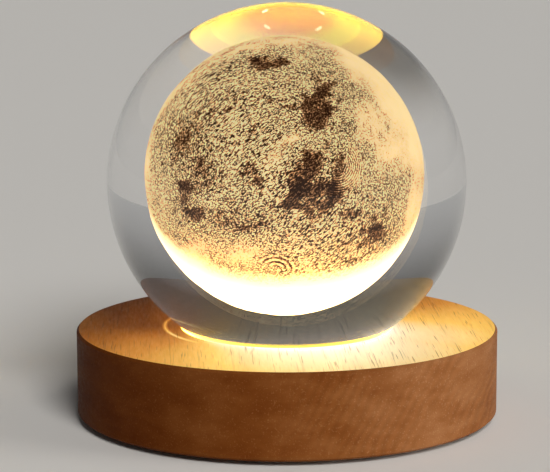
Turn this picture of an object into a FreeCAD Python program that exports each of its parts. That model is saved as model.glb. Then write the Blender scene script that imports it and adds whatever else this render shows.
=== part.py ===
"""Moon lamp: a solid glass ball with a moon engraved inside it, resting in a lit beech disc.

Frame: +Z up, origin on the table under the middle of the disc, +Y towards the power inlet at the back.
All sizes are millimetres. The ball stands in the round hole of the disc and lifts straight off.
"""

import FreeCAD, Part
import math
import os

import Sketcher
from FreeCAD import Placement, Rotation, Vector

doc = FreeCAD.newDocument("MoonLamp")
nodes = {}

# ---------------------------------------------------------------------------------------------
# Driving dimensions
# ---------------------------------------------------------------------------------------------

DRIVING = [
    ("base_diameter", 94.5, "beech disc"),
    ("wood_height", 19.0, "beech disc, without its feet"),
    ("foot_height", 1.2, "rubber feet, which lift the wood off the table"),
    ("edge_break", 0.5, "sanded corner of the disc"),
    ("rim_break", 0.3, "sanded corner of the seat hole"),
    ("seat_diameter", 47.0, "hole that the ball stands in"),
    ("ball_diameter", 80.0, "solid glass ball"),
    ("ball_rise", 32.6, "ball centre above the top of the wood"),
    ("moon_diameter", 41.2, "engraved figure"),
    ("moon_shell", 0.5, "depth of the engraved layer"),
    ("moon_left", 0.35, "figure's centre, left of the ball's centre"),
    ("moon_up", 1.0, "figure's centre, above the ball's centre"),
    ("pocket_diameter", 73.0, "room for the electrics, turned from below"),
    ("pocket_ceiling", 10.5, "top of that room above the table"),
    ("cover_diameter", 84.0, "bottom cover"),
    ("cover_thick", 1.6, "bottom cover"),
    ("cover_gap", 0.2, "round the bottom cover"),
    ("cover_screw_circle", 78.4, "four cover screws"),
    ("cup_diameter", 46.6, "light cup inside the seat hole"),
    ("cup_flange_diameter", 57.0, "flange under the wood"),
    ("cup_flange_thick", 1.5, "flange under the wood"),
    ("cup_height", 7.8, "whole light cup"),
    ("cup_mouth_diameter", 40.4, "reflector at its top"),
    ("cup_screw_circle", 52.0, "three flange screws"),
    ("lens_diameter", 34.0, "clear disc over the lamps"),
    ("lens_thick", 1.2, "clear disc over the lamps"),
    ("lens_ledge", 1.9, "ledge above the underside of the cup"),
    ("lens_window", 31.2, "opening below the clear disc"),
    ("lens_gap", 0.2, "round the clear disc"),
    ("board_diameter", 43.0, "lamp board"),
    ("board_thick", 1.2, "lamp board"),
    ("board_screw_circle", 38.8, "three board screws"),
    ("lamp_circle", 19.0, "eight lamps on the board"),
    ("lamp_side", 5.0, "square lamp package"),
    ("lamp_height", 1.4, "square lamp package"),
    ("lamp_window", 3.8, "glowing window of a lamp"),
    ("lamp_window_deep", 0.5, "glowing window of a lamp"),
    ("chip_circle", 7.0, "resistors between the lamps"),
    ("jack_height", 7.0, "axis of the power inlet above the table"),
    ("jack_nose_diameter", 6.2, "threaded nose"),
    ("jack_bore_gap", 0.2, "round the nose, in the wood"),
    ("jack_socket_diameter", 3.8, "hole for the plug"),
    ("jack_socket_deep", 9.6, "hole for the plug"),
    ("jack_pin_diameter", 1.3, "contact pin"),
    ("jack_front", 46.2, "end of the nose from the middle of the lamp"),
    ("jack_shoulder", 36.1, "front of the inlet's housing"),
    ("jack_back", 29.0, "back of the inlet's housing"),
    ("jack_side", 8.0, "width of the inlet's housing"),
    ("jack_tall", 6.0, "height of the inlet's housing"),
    ("nut_diameter", 9.2, "ring nut"),
    ("nut_thick", 2.0, "ring nut"),
    ("nut_seat", 43.6, "floor of the nut's recess from the middle"),
    ("nut_recess_diameter", 10.0, "recess in the wood"),
    ("wire_diameter", 1.3, "inner leads"),
    ("wire_height", 6.4, "inner leads above the table"),
    ("foot_diameter", 9.0, "rubber feet"),
    ("foot_circle", 62.0, "rubber feet"),
]

SCREW_ANGLES = (30, 150, 270)
COVER_SCREW_ANGLES = (45, 135, 225, 315)
FOOT_ANGLES = (0, 90, 180, 270)
LAMP_COUNT = 8
FIRST_LAMP_ANGLE = -73
RESISTOR_COUNT = 3


class Size:
    """A length that keeps its formula, for binding, together with its value in millimetres."""

    def __init__(self, text, value):
        self.text = text
        self.value = value

    def joined(self, other, sign):
        other = other if isinstance(other, Size) else Size(str(other), other)
        results = {
            "+": lambda a, b: a + b,
            "-": lambda a, b: a - b,
            "*": lambda a, b: a * b,
            "/": lambda a, b: a / b,
        }
        value = results[sign](self.value, other.value)
        return Size(f"({self.text} {sign} {other.text})", value)

    def __add__(self, other):
        return self.joined(other, "+")

    def __sub__(self, other):
        return self.joined(other, "-")

    def __mul__(self, other):
        return self.joined(other, "*")

    def __truediv__(self, other):
        return self.joined(other, "/")


def fill_sheet():
    """Writes the driving dimensions into a sheet and returns them as sizes by name."""
    sheet = doc.addObject("Spreadsheet::Sheet", "Sheet")
    sizes = {}
    for row, (alias, value, note) in enumerate(DRIVING, start=1):
        sheet.set(f"A{row}", alias.replace("_", " "))
        sheet.set(f"B{row}", str(value))
        sheet.set(f"C{row}", note)
        sheet.setAlias(f"B{row}", alias)
        sizes[alias] = Size(f"Sheet.{alias}", value)
    doc.recompute()
    return sizes


D = fill_sheet()

# Heights and radii that several pieces share
WOOD_BOTTOM = D["foot_height"]
WOOD_TOP = D["foot_height"] + D["wood_height"]
LEDGE = WOOD_BOTTOM + D["cover_thick"]
CEILING = D["pocket_ceiling"]
BALL_CENTRE = WOOD_TOP + D["ball_rise"]
BALL_RADIUS = D["ball_diameter"] / 2
SEAT_RADIUS = D["seat_diameter"] / 2
CUP_RADIUS = D["cup_diameter"] / 2
CUP_BOTTOM = CEILING - D["cup_flange_thick"]
CUP_TOP = CUP_BOTTOM + D["cup_height"]
CUP_MOUTH = D["cup_mouth_diameter"] / 2
LENS_BOTTOM = CUP_BOTTOM + D["lens_ledge"]
LENS_TOP = LENS_BOTTOM + D["lens_thick"]
BOARD_BOTTOM = CUP_BOTTOM - D["board_thick"]

# ---------------------------------------------------------------------------------------------
# Helpers
# ---------------------------------------------------------------------------------------------


def keep(thing, name):
    """Names a finished piece: its label is its node's name and its file's name."""
    thing.Label = name
    nodes[name] = thing
    return thing


def bind(thing, **sizes):
    """Sets each property of a thing from a size or a plain number."""
    for name, size in sizes.items():
        if isinstance(size, Size):
            setattr(thing, name, size.value)
            thing.setExpression(name, size.text)
        else:
            setattr(thing, name, size)
    return thing


def put(thing, x=0, y=0, z=0, turn=0, tilt=0):
    """Places a thing: tilt in degrees about X, then turn about Z, then the move, whose sizes stay bound."""
    values = [s.value if isinstance(s, Size) else s for s in (x, y, z)]
    rotation = Rotation(Vector(0, 0, 1), turn) * Rotation(Vector(1, 0, 0), tilt)
    thing.Placement = Placement(Vector(*values), rotation)
    for axis, size in zip("xyz", (x, y, z)):
        if isinstance(size, Size):
            thing.setExpression(f".Placement.Base.{axis}", size.text)
    return thing


def on_circle(thing, circle, angle, z):
    """Places a thing at an angle in degrees on a circle of that diameter, turned to face outwards."""
    x = circle * (math.cos(math.radians(angle)) / 2)
    y = circle * (math.sin(math.radians(angle)) / 2)
    return put(thing, x, y, z, turn=angle)


def solid(kind, name, **sizes):
    return bind(doc.addObject(f"Part::{kind}", name), **sizes)


def cylinder(name, radius, height):
    return solid("Cylinder", name, Radius=radius, Height=height)


def cone(name, bottom, top, height):
    return solid("Cone", name, Radius1=bottom, Radius2=top, Height=height)


def block(name, length, width, height):
    """A box whose own origin is in the middle of its underside."""
    box = solid("Box", name + "_box", Length=length, Width=width, Height=height)
    put(box, length * -0.5, width * -0.5)
    return joined(name, [box])


def joined(name, things):
    group = doc.addObject("Part::Compound", name)
    group.Links = things
    return group


def fused(name, things):
    fuse = doc.addObject("Part::MultiFuse", name)
    fuse.Shapes = things
    return fuse


def cut(name, base, tool):
    result = doc.addObject("Part::Cut", name)
    result.Base = base
    result.Tool = tool
    return result


def origin_part(body, role):
    return next(f for f in body.Origin.OriginFeatures if f.Role == role)


def new_sketch(body, role, name, offset=0.0):
    sketch = body.newObject("Sketcher::SketchObject", name)
    sketch.AttachmentSupport = (origin_part(body, role), [""])
    sketch.MapMode = "FlatFace"
    sketch.AttachmentOffset = Placement(Vector(0, 0, offset), Rotation())
    return sketch


def bind_constraint(sketch, constraint, size):
    index = sketch.addConstraint(constraint)
    if isinstance(size, Size):
        sketch.setExpression(f"Constraints[{index}]", size.text)


def draw_outline(sketch, points):
    """A closed outline of straight sides whose corners are held at (across, up) from the origin."""
    corners = [
        [s.value if isinstance(s, Size) else s for s in point] for point in points
    ]
    count = len(corners)
    for i, corner in enumerate(corners):
        after = corners[(i + 1) % count]
        line = Part.LineSegment(Vector(*corner, 0), Vector(*after, 0))
        sketch.addGeometry(line, False)
    for i in range(count):
        sketch.addConstraint(
            Sketcher.Constraint("Coincident", i, 2, (i + 1) % count, 1)
        )
    for i, point in enumerate(points):
        for kind, size, value in zip(("DistanceX", "DistanceY"), point, corners[i]):
            held = Sketcher.Constraint(kind, -1, 1, i, 1, value)
            bind_constraint(sketch, held, size)


def draw_circle(sketch, across, up, radius):
    at = [s.value if isinstance(s, Size) else s for s in (across, up)]
    index = sketch.addGeometry(
        Part.Circle(Vector(*at, 0), Vector(0, 0, 1), radius.value), False
    )
    held = Sketcher.Constraint("Radius", index, radius.value)
    bind_constraint(sketch, held, radius)
    for kind, size, value in zip(("DistanceX", "DistanceY"), (across, up), at):
        if value:
            held = Sketcher.Constraint(kind, -1, 1, index, 3, value)
            bind_constraint(sketch, held, size)
        else:
            axis = -2 if kind == "DistanceX" else -1
            sketch.addConstraint(Sketcher.Constraint("PointOnObject", index, 3, axis))


def turned(name, outline):
    """A body turned about Z from an outline of (radius, height) corners."""
    body = doc.addObject("PartDesign::Body", name)
    sketch = new_sketch(body, "XZ_Plane", name + "_outline")
    draw_outline(sketch, outline)
    turn = body.newObject("PartDesign::Revolution", name + "_turning")
    turn.Profile = sketch
    turn.ReferenceAxis = (sketch, ["V_Axis"])
    turn.Angle = 360
    doc.recompute()
    return body


def volume_drops(body, change):
    """Makes a cut and stops if it took nothing away."""
    before = body.Shape.Volume
    change()
    doc.recompute()
    if body.Shape.Volume > before - 1e-3:
        raise RuntimeError(f"a cut in {body.Name} removed nothing")


def drilled(body, name, circle, angles, radius, start, deep):
    """Round holes drilled upwards from a height, the first at angles[0] and the rest by a polar pattern."""

    def make():
        sketch = new_sketch(body, "XY_Plane", name + "_circle", start.value)
        sketch.setExpression(".AttachmentOffset.Base.z", start.text)
        first = math.radians(angles[0])
        x, y = circle * (math.cos(first) / 2), circle * (math.sin(first) / 2)
        draw_circle(sketch, x, y, radius)
        hole = body.newObject("PartDesign::Pocket", name)
        hole.Profile = sketch
        bind(hole, Length=deep)
        hole.Reversed = True
        pattern = body.newObject("PartDesign::PolarPattern", name + "_pattern")
        pattern.Originals = [hole]
        pattern.Axis = (sketch, ["N_Axis"])
        pattern.Angle = 360
        pattern.Occurrences = len(angles)
        body.Tip = pattern

    volume_drops(body, make)


def bored_from_back(body, name, radius, height, start):
    """A round hole along +Y from a distance behind the middle out through the back."""

    def make():
        sketch = new_sketch(body, "XZ_Plane", name + "_circle", -start.value)
        sketch.setExpression(".AttachmentOffset.Base.z", f"-{start.text}")
        draw_circle(sketch, 0, height, radius)
        hole = body.newObject("PartDesign::Pocket", name)
        hole.Profile = sketch
        hole.Type = "ThroughAll"
        hole.Reversed = False
        body.Tip = hole

    volume_drops(body, make)


# ---------------------------------------------------------------------------------------------
# The wooden disc and what closes it
# ---------------------------------------------------------------------------------------------

PILOT_RADIUS = 0.9
COVER_PILOT_DEEP = 6.0
CUP_PILOT_DEEP = 5.0


def wood_base():
    """Beech disc: seat hole from above, a wide pocket and a rebate for the cover from below."""
    radius = D["base_diameter"] / 2
    rebate = D["cover_diameter"] / 2 + D["cover_gap"]
    pocket = D["pocket_diameter"] / 2
    edge, rim = D["edge_break"], D["rim_break"]
    body = turned(
        "wood_base",
        [
            (rebate, WOOD_BOTTOM),
            (radius - edge, WOOD_BOTTOM),
            (radius, WOOD_BOTTOM + edge),
            (radius, WOOD_TOP - edge),
            (radius - edge, WOOD_TOP),
            (SEAT_RADIUS + rim, WOOD_TOP),
            (SEAT_RADIUS, WOOD_TOP - rim),
            (SEAT_RADIUS, CEILING),
            (pocket, CEILING),
            (pocket, LEDGE),
            (rebate, LEDGE),
        ],
    )
    pilot = Size(str(PILOT_RADIUS), PILOT_RADIUS)
    drilled(
        body,
        "cover_pilots",
        D["cover_screw_circle"],
        COVER_SCREW_ANGLES,
        pilot,
        LEDGE,
        COVER_PILOT_DEEP,
    )
    drilled(
        body,
        "cup_pilots",
        D["cup_screw_circle"],
        SCREW_ANGLES,
        pilot,
        CEILING,
        CUP_PILOT_DEEP,
    )
    nose = D["jack_nose_diameter"] / 2 + D["jack_bore_gap"]
    bored_from_back(body, "jack_bore", nose, D["jack_height"], pocket - 1)
    recess = D["nut_recess_diameter"] / 2
    bored_from_back(body, "nut_recess", recess, D["jack_height"], D["nut_seat"])
    keep(body, "wood_base")


SINK_WIDE = 2.2
SINK_NARROW = 1.1
SINK_CONE = 1.2
SINK_BELOW = 0.15


def bottom_cover():
    """Flat plastic disc let into the underside. Each screw's hole has a short wall, then a cone."""
    disc = cylinder("cover_disc", D["cover_diameter"] / 2, D["cover_thick"])
    put(disc, z=WOOD_BOTTOM)
    holes = []
    for i, angle in enumerate(COVER_SCREW_ANGLES):
        name = f"cover_hole_{i}"
        mouth = put(cylinder(name + "_mouth", SINK_WIDE, 1 + SINK_BELOW), z=-1)
        sink = put(cone(name + "_sink", SINK_WIDE, SINK_NARROW, SINK_CONE), z=SINK_BELOW)
        through = cylinder(name + "_through", SINK_NARROW, D["cover_thick"] * 2)
        hole = fused(name, [mouth, sink, through])
        holes.append(on_circle(hole, D["cover_screw_circle"], angle, WOOD_BOTTOM))
    keep(cut("bottom_cover", disc, fused("cover_holes", holes)), "bottom_cover")


THREAD_GAP = 0.05
TIP_RADIUS = 0.2
CROSS_LONG = 2.4
CROSS_WIDE = 0.55
CROSS_DEEP = 0.8


def cross_cut(name, screw):
    """Cuts a cross for the driver into the underside of a screw whose head faces down at z = 0."""
    bars = [
        put(block(f"{name}_bar_{i}", CROSS_LONG, CROSS_WIDE, CROSS_DEEP), turn=turn)
        for i, turn in enumerate((45, 135))
    ]
    return cut(name, screw, fused(name + "_cross", bars))


def cover_screws():
    """Four countersunk screws that hold the cover to the wood."""
    length, point, shank_radius = 6.4, 1.2, PILOT_RADIUS - THREAD_GAP
    screws = []
    for i, angle in enumerate(COVER_SCREW_ANGLES):
        name = f"cover_screw_{i}"
        head = cone(name + "_head", SINK_WIDE, SINK_NARROW, SINK_CONE)
        shank = cylinder(name + "_shank", shank_radius, length - point)
        tip = cone(name + "_tip", shank_radius, TIP_RADIUS, point)
        put(tip, z=length - point)
        whole = cross_cut(name, fused(name + "_whole", [head, shank, tip]))
        on_circle(whole, D["cover_screw_circle"], angle, WOOD_BOTTOM + SINK_BELOW)
        screws.append(whole)
    keep(joined("cover_screws", screws), "cover_screws")


def rubber_feet():
    """Four soft pads with rounded edges under the cover."""
    feet = []
    rounding = 0.4
    for i, angle in enumerate(FOOT_ANGLES):
        pad = cylinder(f"foot_pad_{i}", D["foot_diameter"] / 2, D["foot_height"])
        doc.recompute()
        rims = [
            n
            for n, edge in enumerate(pad.Shape.Edges, start=1)
            if edge.Closed and edge.CenterOfMass.z < D["foot_height"].value / 2
        ]
        foot = doc.addObject("Part::Fillet", f"foot_{i}")
        foot.Base = pad
        foot.Edges = [(n, rounding, rounding) for n in rims]
        feet.append(on_circle(foot, D["foot_circle"], angle, 0))
    keep(joined("rubber_feet", feet), "rubber_feet")


# ---------------------------------------------------------------------------------------------
# The light: cup, clear disc, board and lamps
# ---------------------------------------------------------------------------------------------

FLANGE_HOLE_RADIUS = 1.35
BOARD_PILOT_RADIUS = 0.75
BOARD_PILOT_DEEP = 3.6
BOARD_HOLE_RADIUS = 1.1


def light_cup():
    """White reflector cup: its flange is screwed up under the wood, its cone opens towards the ball."""
    lens = D["lens_diameter"] / 2 + D["lens_gap"]
    window = D["lens_window"] / 2
    flange = D["cup_flange_diameter"] / 2
    body = turned(
        "light_cup",
        [
            (window, CUP_BOTTOM),
            (flange, CUP_BOTTOM),
            (flange, CEILING),
            (CUP_RADIUS, CEILING),
            (CUP_RADIUS, CUP_TOP),
            (CUP_MOUTH, CUP_TOP),
            (lens, LENS_TOP + D["lens_gap"]),
            (lens, LENS_BOTTOM),
            (window, LENS_BOTTOM),
        ],
    )
    flange_hole = Size(str(FLANGE_HOLE_RADIUS), FLANGE_HOLE_RADIUS)
    drilled(
        body,
        "flange_holes",
        D["cup_screw_circle"],
        SCREW_ANGLES,
        flange_hole,
        CUP_BOTTOM,
        D["cup_flange_thick"] * 1.5,
    )
    pilot = Size(str(BOARD_PILOT_RADIUS), BOARD_PILOT_RADIUS)
    drilled(
        body,
        "board_pilots",
        D["board_screw_circle"],
        SCREW_ANGLES,
        pilot,
        CUP_BOTTOM,
        BOARD_PILOT_DEEP,
    )
    keep(body, "light_cup")


def lens_cover():
    """Clear disc that keeps fingers and dust off the lamps."""
    disc = cylinder("lens_cover", D["lens_diameter"] / 2, D["lens_thick"])
    keep(put(disc, z=LENS_BOTTOM), "lens_cover")


def led_board():
    """Round circuit board with three screw holes, held under the cup."""
    body = doc.addObject("PartDesign::Body", "led_board")
    sketch = new_sketch(body, "XY_Plane", "board_circle", BOARD_BOTTOM.value)
    sketch.setExpression(".AttachmentOffset.Base.z", BOARD_BOTTOM.text)
    draw_circle(sketch, 0, 0, D["board_diameter"] / 2)
    pad = body.newObject("PartDesign::Pad", "board_pad")
    pad.Profile = sketch
    bind(pad, Length=D["board_thick"])
    doc.recompute()
    hole = Size(str(BOARD_HOLE_RADIUS), BOARD_HOLE_RADIUS)
    drilled(
        body,
        "board_holes",
        D["board_screw_circle"],
        SCREW_ANGLES,
        hole,
        BOARD_BOTTOM,
        D["board_thick"] * 2,
    )
    keep(body, "led_board")


def pan_screws(name, circle, z, head_radius, pilot_radius, length):
    """Three pan-head screws, heads down, whose heads bear at height z."""
    head_tall, point, shank_radius = 1.3, 0.8, pilot_radius - THREAD_GAP
    screws = []
    for i, angle in enumerate(SCREW_ANGLES):
        part = f"{name}_{i}"
        head = cylinder(part + "_head", head_radius, head_tall)
        shank = cylinder(part + "_shank", shank_radius, head_tall + length - point)
        tip = cone(part + "_tip", shank_radius, TIP_RADIUS, point)
        put(tip, z=head_tall + length - point)
        whole = cross_cut(part, fused(part + "_whole", [head, shank, tip]))
        screws.append(on_circle(whole, circle, angle, z - head_tall))
    keep(joined(name, screws), name)


def cup_screws():
    pan_screws("cup_screws", D["cup_screw_circle"], CUP_BOTTOM, 2.3, PILOT_RADIUS, 6.0)


def board_screws():
    circle = D["board_screw_circle"]
    pan_screws("board_screws", circle, BOARD_BOTTOM, 1.8, BOARD_PILOT_RADIUS, 4.4)


WINDOW_SLOPE = 0.4


def lamp_packages():
    """Eight square white lamp packages and the glowing window let into each."""
    packages, windows = [], []
    bottom, top = D["lamp_window"] / 2 - WINDOW_SLOPE, D["lamp_window"] / 2
    deep = D["lamp_window_deep"]
    for i in range(LAMP_COUNT):
        angle = FIRST_LAMP_ANGLE + 360 * i / LAMP_COUNT
        case = block(f"lamp_case_{i}", D["lamp_side"], D["lamp_side"], D["lamp_height"])
        dish = put(
            cone(f"lamp_dish_{i}", bottom, top, deep), z=D["lamp_height"] - deep
        )
        package = cut(f"lamp_package_{i}", case, dish)
        window = cone(f"lamp_window_{i}", bottom, top, deep)
        packages.append(on_circle(package, D["lamp_circle"], angle, CUP_BOTTOM))
        height = CUP_BOTTOM + D["lamp_height"] - deep
        windows.append(on_circle(window, D["lamp_circle"], angle, height))
    keep(joined("led_packages", packages), "led_packages")
    keep(joined("led_windows", windows), "led_windows")


CHIP_WIDE = 1.6
CHIP_LONG = 3.2
CHIP_TALL = 0.6


def chip_resistors():
    """Small resistors between the lamps, near the middle of the board."""
    chips = []
    for i in range(RESISTOR_COUNT):
        chip = block(f"chip_{i}", CHIP_WIDE, CHIP_LONG, CHIP_TALL)
        angle = 90 + 360 * i / RESISTOR_COUNT
        chips.append(on_circle(chip, D["chip_circle"], angle, CUP_BOTTOM))
    keep(joined("chip_resistors", chips), "chip_resistors")


# ---------------------------------------------------------------------------------------------
# Power: inlet at the back and the leads to the board
# ---------------------------------------------------------------------------------------------

LUG_OFFSET = 2.2
LUG_WIDE = 1.1
LUG_THICK = 0.35
LUG_LONG = 2.4
SLOT_WIDE = 1.6
SLOT_LONG = 7.0
SLOT_TALL = 1.0
SLOT_BELOW_AXIS = 2.6


def lying(thing, x, y, z):
    """Lays a piece that was made along +Z down along +Y."""
    return put(thing, x, y, z, tilt=-90)


def jack_body():
    """Inlet housing in the pocket with a round nose through the wood, bored for the plug."""
    axis = D["jack_height"]
    long = D["jack_shoulder"] - D["jack_back"]
    case = block("jack_case", D["jack_side"], long, D["jack_tall"])
    put(case, y=D["jack_back"] + long / 2, z=axis - D["jack_tall"] / 2)
    nose_long = D["jack_front"] - D["jack_shoulder"]
    nose = cylinder("jack_nose", D["jack_nose_diameter"] / 2, nose_long)
    lying(nose, 0, D["jack_shoulder"], axis)
    socket = cylinder(
        "jack_socket", D["jack_socket_diameter"] / 2, D["jack_socket_deep"] + 1
    )
    lying(socket, 0, D["jack_front"] - D["jack_socket_deep"], axis)
    slot = block("jack_slot", SLOT_WIDE, SLOT_LONG, SLOT_TALL)
    slot_middle = D["jack_front"] - D["jack_socket_deep"] + SLOT_LONG / 2
    put(slot, y=slot_middle, z=axis - SLOT_BELOW_AXIS)
    hollow = fused("jack_hollow", [socket, slot])
    keep(cut("jack_body", fused("jack_outside", [case, nose]), hollow), "jack_body")


def jack_pin():
    """Contact pin in the middle of the socket, with a rounded end."""
    radius = D["jack_pin_diameter"] / 2
    start = D["jack_front"] - D["jack_socket_deep"]
    straight = 7.4
    shaft = lying(
        cylinder("jack_pin_shaft", radius, straight), 0, start, D["jack_height"]
    )
    end = solid("Sphere", "jack_pin_end", Radius=radius)
    put(end, y=start + straight, z=D["jack_height"])
    keep(fused("jack_pin", [shaft, end]), "jack_pin")


def jack_spring():
    """Leaf contact in the slot under the socket. Its tip stands up into the way of the plug."""
    start = D["jack_front"].value - D["jack_socket_deep"].value
    low = D["jack_height"].value - 2.5
    thick, wide = 0.2, 1.2
    line = [(0.0, 0.0), (3.6, 0.0), (5.0, 0.85), (6.2, 0.55)]
    upper = [(y, z + thick) for y, z in reversed(line)]
    corners = [Vector(-wide / 2, start + y, low + z) for y, z in line + upper]
    face = Part.Face(Part.makePolygon(corners + corners[:1]))
    leaf = doc.addObject("Part::Feature", "jack_spring")
    leaf.Shape = face.extrude(Vector(wide, 0, 0))
    keep(leaf, "jack_spring")


def jack_nut():
    """Ring nut in a recess at the back, with flats cut for a spanner."""
    thick = D["nut_thick"]
    disc = solid(
        "Prism", "nut_prism", Polygon=12, Circumradius=D["nut_diameter"] / 2, Height=thick
    )
    hole = cylinder("nut_hole", D["jack_nose_diameter"] / 2 + 0.05, thick)
    ring = cut("jack_nut", disc, hole)
    keep(lying(ring, 0, D["nut_seat"], D["jack_height"]), "jack_nut")


def jack_lugs():
    """Two flat solder lugs behind the housing."""
    lugs = []
    for side in (-1, 1):
        lug = block(f"jack_lug_{side + 1}", LUG_WIDE, LUG_LONG, LUG_THICK)
        middle = D["jack_back"] - LUG_LONG / 2
        height = D["wire_height"] - LUG_THICK / 2
        lugs.append(put(lug, side * LUG_OFFSET, middle, height))
    keep(joined("jack_lugs", lugs), "jack_lugs")


BEND_SHARE = 0.45


def rounded_path(points):
    """Straight runs joined by tangent arcs, each as wide as its two runs allow, and the arcs' radii."""
    edges, radii = [], []
    last = points[0]
    for before, corner, after in zip(points, points[1:], points[2:]):
        into, out = corner - before, after - corner
        reach = BEND_SHARE * min(into.Length, out.Length)
        into.normalize()
        out.normalize()
        half_turn = into.getAngle(out) / 2
        radius = reach / math.tan(half_turn)
        start, end = corner - into * reach, corner + out * reach
        inwards = (out - into).normalize()
        middle = corner + inwards * (radius / math.cos(half_turn) - radius)
        edges.append(Part.LineSegment(last, start).toShape())
        edges.append(Part.Arc(start, middle, end).toShape())
        radii.append(radius)
        last = end
    edges.append(Part.LineSegment(last, points[-1]).toShape())
    return Part.Wire(edges), radii


RED_ROUTE = [(-2.5, -1.0), (-9.5, -2.0), (-13.0, 5.0), (-9.5, 13.0), (-2.2, 18.2)]
BLACK_ROUTE = [(2.5, -4.0), (9.5, -3.5), (13.0, 4.5), (10.0, 13.0), (2.2, 17.6)]


def inner_wire(name, route):
    """A lead that lies under the board, from its solder joint to a lug of the inlet."""
    height, radius = D["wire_height"].value, D["wire_diameter"].value / 2
    end = (route[-1][0], D["jack_back"].value - LUG_LONG)
    points = [Vector(x, y, height) for x, y in [*route, end]]
    path, radii = rounded_path(points)
    ring = Part.Wire(Part.Circle(points[0], points[1] - points[0], radius).toShape())
    wire = doc.addObject("Part::Feature", name)
    wire.Shape = path.makePipeShell([ring], True, False)
    ratio = wire.Shape.Volume / (math.pi * radius**2 * path.Length)
    bends = ", ".join(f"{bend:.1f}" for bend in radii)
    print(f"{name}: {path.Length:.1f} mm long, bends {bends} mm, volume ratio {ratio:.4f}")
    keep(wire, name)


def solder_joints():
    """Two domes of solder under the board, each round the end of a lead."""
    radius, top = 1.0, 1.5
    tall = BOARD_BOTTOM - D["wire_height"]
    joints = []
    for name, route in (("red_wire", RED_ROUTE), ("black_wire", BLACK_ROUTE)):
        dome = put(cone(name + "_dome", radius, top, tall), *route[0], D["wire_height"])
        joints.append(cut(name + "_solder", dome, nodes[name]))
    keep(joined("solder_joints", joints), "solder_joints")


SLEEVE_LONG = 4.6
SLEEVE_GAP = 0.3


def heat_shrink_sleeves():
    """Sleeves over the ends of the leads, where they meet the lugs."""
    inside = D["wire_diameter"] / 2
    outside = inside + 0.4
    sleeves = []
    start = D["jack_back"] - SLEEVE_GAP - SLEEVE_LONG
    for side in (-1, 1):
        tube = cylinder(f"sleeve_tube_{side + 1}", outside, SLEEVE_LONG)
        core = cylinder(f"sleeve_core_{side + 1}", inside, SLEEVE_LONG)
        sleeve = cut(f"sleeve_{side + 1}", tube, core)
        sleeves.append(lying(sleeve, side * LUG_OFFSET, start, D["wire_height"]))
    keep(joined("heat_shrink_sleeves", sleeves), "heat_shrink_sleeves")


# ---------------------------------------------------------------------------------------------
# The ball and the moon inside it
# ---------------------------------------------------------------------------------------------


def glass_ball():
    ball = solid("Sphere", "glass_ball", Radius=BALL_RADIUS)
    keep(put(ball, z=BALL_CENTRE), "glass_ball")


def engraved_moon():
    """The engraved layer: a thin round shell of tiny cracks inside the glass, a little off its middle."""
    radius = D["moon_diameter"] / 2
    outside = solid("Sphere", "moon_outside", Radius=radius)
    inside = solid("Sphere", "moon_inside", Radius=radius - D["moon_shell"])
    shell = cut("engraved_moon", outside, inside)
    put(shell, D["moon_left"] * -1, 0, BALL_CENTRE + D["moon_up"])
    keep(shell, "engraved_moon")


# ---------------------------------------------------------------------------------------------
# Build, check and write
# ---------------------------------------------------------------------------------------------


def build():
    wood_base()
    bottom_cover()
    cover_screws()
    rubber_feet()
    light_cup()
    lens_cover()
    led_board()
    cup_screws()
    board_screws()
    lamp_packages()
    chip_resistors()
    jack_body()
    jack_pin()
    jack_spring()
    jack_nut()
    jack_lugs()
    inner_wire("red_wire", RED_ROUTE)
    inner_wire("black_wire", BLACK_ROUTE)
    solder_joints()
    heat_shrink_sleeves()
    glass_ball()
    engraved_moon()
    doc.recompute()


def check():
    """Stops before anything is written if an object failed or a piece isn't a sound solid."""
    for thing in doc.Objects:
        if {"Invalid", "Error"} & set(thing.State):
            raise RuntimeError(f"{thing.Name} failed: {thing.State}")
    for name, thing in nodes.items():
        shape = thing.Shape
        if shape.isNull() or not shape.isValid() or not shape.Solids:
            raise RuntimeError(f"{name} isn't a sound solid")


def write():
    os.makedirs("parts", exist_ok=True)
    for name, thing in nodes.items():
        thing.Shape.exportStep(f"parts/{name}.step")
        solids = len(thing.Shape.Solids)
        print(f"{name}: {solids} solid(s), {thing.Shape.Volume:.1f} mm3")


build()
check()
write()
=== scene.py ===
# %% [markdown]
# # A moon in a glass ball, on a lit beech disc
#
# The lamp has two halves. The lower one is a beech disc with lamps hidden in it. The upper one
# is a solid glass ball that stands loose in the disc's round hole. A laser has drawn a moon
# inside the ball, point by point, as thousands of tiny cracks that catch the light from below.
#
# The solids come ready made and to size, so this lesson only dresses them: first the camera and
# the light, then the glass, the moon, the wood and what is hidden underneath.

import math

import bmesh
import bpy
import numpy as np
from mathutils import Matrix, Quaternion, Vector, noise


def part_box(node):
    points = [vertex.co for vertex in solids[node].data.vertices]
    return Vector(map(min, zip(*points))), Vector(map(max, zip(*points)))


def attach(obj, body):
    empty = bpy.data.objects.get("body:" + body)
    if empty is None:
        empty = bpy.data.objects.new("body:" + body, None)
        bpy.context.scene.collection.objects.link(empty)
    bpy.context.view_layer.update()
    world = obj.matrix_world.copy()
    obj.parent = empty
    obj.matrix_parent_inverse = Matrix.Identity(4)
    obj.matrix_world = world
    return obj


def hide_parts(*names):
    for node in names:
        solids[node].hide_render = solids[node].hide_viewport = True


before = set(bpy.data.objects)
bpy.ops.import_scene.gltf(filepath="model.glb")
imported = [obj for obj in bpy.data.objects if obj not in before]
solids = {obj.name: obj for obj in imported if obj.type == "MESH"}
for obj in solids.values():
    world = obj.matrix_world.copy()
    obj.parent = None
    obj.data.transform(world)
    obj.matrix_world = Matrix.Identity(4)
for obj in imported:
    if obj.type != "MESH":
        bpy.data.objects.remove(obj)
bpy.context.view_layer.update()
MM = 0.001

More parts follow.
